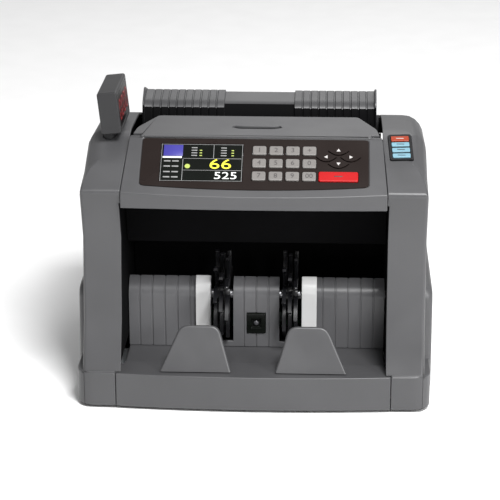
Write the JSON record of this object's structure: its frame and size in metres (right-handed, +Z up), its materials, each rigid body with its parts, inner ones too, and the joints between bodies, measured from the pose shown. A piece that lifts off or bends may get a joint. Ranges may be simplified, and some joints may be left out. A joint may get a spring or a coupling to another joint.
{
  "type": "banknote counting machine",
  "caption": "Desktop banknote counter with a sloped control panel, rear hopper, open front stacker with finger wheels and note stops, and a swivelling side display.",
  "frame": {"origin": "middle of the footprint at the underside of the feet", "axes": "+Z up, -Y out of the front where the notes are taken, +X to the operator's right"},
  "size_m": [0.295, 0.254, 0.2541],
  "materials": {
    "grey_shell": "fine-textured moulded ABS",
    "dark_plastic": "black moulded plastic",
    "overlay_film": "printed polyester film",
    "display_glass": "glossy display window",
    "key_plastic": "moulded keycap",
    "red_plastic": "red moulded plastic",
    "orange_plastic": "orange moulded plastic",
    "blue_plastic": "pale blue moulded plastic",
    "white_plastic": "white translucent plastic",
    "rubber": "black rubber",
    "steel": "zinc-plated steel",
    "board": "green circuit board"
  },
  "bodies": {
    "machine": {"left_side_cover": "grey_shell", "right_side_cover": "grey_shell", "top_housing": "grey_shell", "rear_tray": "grey_shell", "rear_cover": "grey_shell", "front_panel": "grey_shell", "stacker_wall": "grey_shell", "stacker_stop_left": "grey_shell", "stacker_stop_right": "grey_shell", "side_keypad_overlay": "dark_plastic", "pod_neck": "dark_plastic", "power_inlet": "dark_plastic", "sensor_window": "dark_plastic", "note_chute": "dark_plastic", "control_overlay": "overlay_film", "display_screen": "display_glass", "guide_plate_left": "white_plastic", "guide_plate_right": "white_plastic", "foot_front_left": "rubber", "foot_front_right": "rubber", "foot_rear_left": "rubber", "foot_rear_right": "rubber", "drive_belt": "rubber", "base_tray": "steel", "left_frame_plate": "steel", "right_frame_plate": "steel", "main_motor": "steel", "main_board": "board"},
    "key_01": {"key_01": "key_plastic"},
    "key_02": {"key_02": "key_plastic"},
    "key_03": {"key_03": "key_plastic"},
    "key_04": {"key_04": "key_plastic"},
    "key_05": {"key_05": "key_plastic"},
    "key_06": {"key_06": "key_plastic"},
    "key_07": {"key_07": "key_plastic"},
    "key_08": {"key_08": "key_plastic"},
    "key_09": {"key_09": "key_plastic"},
    "key_10": {"key_10": "key_plastic"},
    "key_11": {"key_11": "key_plastic"},
    "key_12": {"key_12": "key_plastic"},
    "arrow_key_up": {"arrow_key_up": "overlay_film"},
    "arrow_key_down": {"arrow_key_down": "overlay_film"},
    "arrow_key_left": {"arrow_key_left": "overlay_film"},
    "arrow_key_right": {"arrow_key_right": "overlay_film"},
    "start_key": {"start_key": "red_plastic"},
    "side_key_mode": {"side_key_mode": "orange_plastic"},
    "side_key_1": {"side_key_1": "blue_plastic"},
    "side_key_2": {"side_key_2": "blue_plastic"},
    "side_key_3": {"side_key_3": "blue_plastic"},
    "deck": {"hopper_deck": "grey_shell"},
    "pod": {"pod_housing": "grey_shell", "pod_window": "display_glass"},
    "impellers": {"impeller_shaft": "steel", "impeller_left": "dark_plastic", "impeller_right": "dark_plastic"},
    "feed_roller": {"feed_shaft": "rubber"},
    "retard": {"retard_roller": "rubber"},
    "motor_rotor": {"motor_pulley": "steel"},
    "rocker": {"rocker_switch": "red_plastic"},
    "gap_knob": {"feed_gap_knob": "dark_plastic"}
  },
  "joints": [
    {"name": "key_01_press", "type": "slide", "parent": "machine", "child": "key_01", "axis": [0, 0.5878, -0.809], "range_m": [0, 0.0008], "stiffness_N_per_m": 400},
    {"name": "key_02_press", "type": "slide", "parent": "machine", "child": "key_02", "axis": [0, 0.5878, -0.809], "range_m": [0, 0.0008], "stiffness_N_per_m": 400},
    {"name": "key_03_press", "type": "slide", "parent": "machine", "child": "key_03", "axis": [0, 0.5878, -0.809], "range_m": [0, 0.0008], "stiffness_N_per_m": 400},
    {"name": "key_04_press", "type": "slide", "parent": "machine", "child": "key_04", "axis": [0, 0.5878, -0.809], "range_m": [0, 0.0008], "stiffness_N_per_m": 400},
    {"name": "key_05_press", "type": "slide", "parent": "machine", "child": "key_05", "axis": [0, 0.5878, -0.809], "range_m": [0, 0.0008], "stiffness_N_per_m": 400},
    {"name": "key_06_press", "type": "slide", "parent": "machine", "child": "key_06", "axis": [0, 0.5878, -0.809], "range_m": [0, 0.0008], "stiffness_N_per_m": 400},
    {"name": "key_07_press", "type": "slide", "parent": "machine", "child": "key_07", "axis": [0, 0.5878, -0.809], "range_m": [0, 0.0008], "stiffness_N_per_m": 400},
    {"name": "key_08_press", "type": "slide", "parent": "machine", "child": "key_08", "axis": [0, 0.5878, -0.809], "range_m": [0, 0.0008], "stiffness_N_per_m": 400},
    {"name": "key_09_press", "type": "slide", "parent": "machine", "child": "key_09", "axis": [0, 0.5878, -0.809], "range_m": [0, 0.0008], "stiffness_N_per_m": 400},
    {"name": "key_10_press", "type": "slide", "parent": "machine", "child": "key_10", "axis": [0, 0.5878, -0.809], "range_m": [0, 0.0008], "stiffness_N_per_m": 400},
    {"name": "key_11_press", "type": "slide", "parent": "machine", "child": "key_11", "axis": [0, 0.5878, -0.809], "range_m": [0, 0.0008], "stiffness_N_per_m": 400},
    {"name": "key_12_press", "type": "slide", "parent": "machine", "child": "key_12", "axis": [0, 0.5878, -0.809], "range_m": [0, 0.0008], "stiffness_N_per_m": 400},
    {"name": "arrow_key_up_press", "type": "slide", "parent": "machine", "child": "arrow_key_up", "axis": [0, 0.5878, -0.809], "range_m": [0, 0.0008], "stiffness_N_per_m": 400},
    {"name": "arrow_key_down_press", "type": "slide", "parent": "machine", "child": "arrow_key_down", "axis": [0, 0.5878, -0.809], "range_m": [0, 0.0008], "stiffness_N_per_m": 400},
    {"name": "arrow_key_left_press", "type": "slide", "parent": "machine", "child": "arrow_key_left", "axis": [0, 0.5878, -0.809], "range_m": [0, 0.0008], "stiffness_N_per_m": 400},
    {"name": "arrow_key_right_press", "type": "slide", "parent": "machine", "child": "arrow_key_right", "axis": [0, 0.5878, -0.809], "range_m": [0, 0.0008], "stiffness_N_per_m": 400},
    {"name": "start_key_press", "type": "slide", "parent": "machine", "child": "start_key", "axis": [0, 0.5878, -0.809], "range_m": [0, 0.0008], "stiffness_N_per_m": 400},
    {"name": "side_key_mode_press", "type": "slide", "parent": "machine", "child": "side_key_mode", "axis": [0, 0.4226, -0.9063], "range_m": [0, 0.0008], "stiffness_N_per_m": 400},
    {"name": "side_key_1_press", "type": "slide", "parent": "machine", "child": "side_key_1", "axis": [0, 0.4226, -0.9063], "range_m": [0, 0.0008], "stiffness_N_per_m": 400},
    {"name": "side_key_2_press", "type": "slide", "parent": "machine", "child": "side_key_2", "axis": [0, 0.4226, -0.9063], "range_m": [0, 0.0008], "stiffness_N_per_m": 400},
    {"name": "side_key_3_press", "type": "slide", "parent": "machine", "child": "side_key_3", "axis": [0, 0.4226, -0.9063], "range_m": [0, 0.0008], "stiffness_N_per_m": 400},
    {"name": "deck_lift", "type": "hinge", "parent": "machine", "child": "deck", "pos_m": [0, -0.0573, 0.21416], "axis": [1, 0, 0], "range_deg": [0, 70]},
    {"name": "pod_swivel", "type": "hinge", "parent": "machine", "child": "pod", "pos_m": [-0.1205, -0.052, 0.2], "axis": [0, 0, 1], "range_deg": [0, 180]},
    {"name": "feed_turn", "type": "hinge", "parent": "machine", "child": "feed_roller", "pos_m": [0, -0.018, 0.186], "axis": [1, 0, 0], "continuous": true},
    {"name": "impeller_turn", "type": "hinge", "parent": "machine", "child": "impellers", "pos_m": [0, -0.04, 0.072], "axis": [1, 0, 0], "continuous": true},
    {"name": "motor_turn", "type": "hinge", "parent": "machine", "child": "motor_rotor", "pos_m": [0.12, 0.042, 0.074], "axis": [1, 0, 0], "continuous": true},
    {"name": "retard_turn", "type": "hinge", "parent": "machine", "child": "retard", "pos_m": [0, 0.0095, 0.18], "axis": [1, 0, 0], "continuous": true},
    {"name": "rocker_rock", "type": "hinge", "parent": "machine", "child": "rocker", "pos_m": [-0.092, 0.1213, 0.038], "axis": [1, 0, 0], "range_deg": [-12, 0]},
    {"name": "gap_knob_turn", "type": "hinge", "parent": "machine", "child": "gap_knob", "pos_m": [0, 0.074, 0.2], "axis": [0, 0, 1], "range_deg": [-180, 180]}
  ],
  "couplings": [
    {"joint": "feed_turn", "follows": "impeller_turn", "ratio": 1},
    {"joint": "motor_turn", "follows": "impeller_turn", "ratio": 1.75}
  ]
}
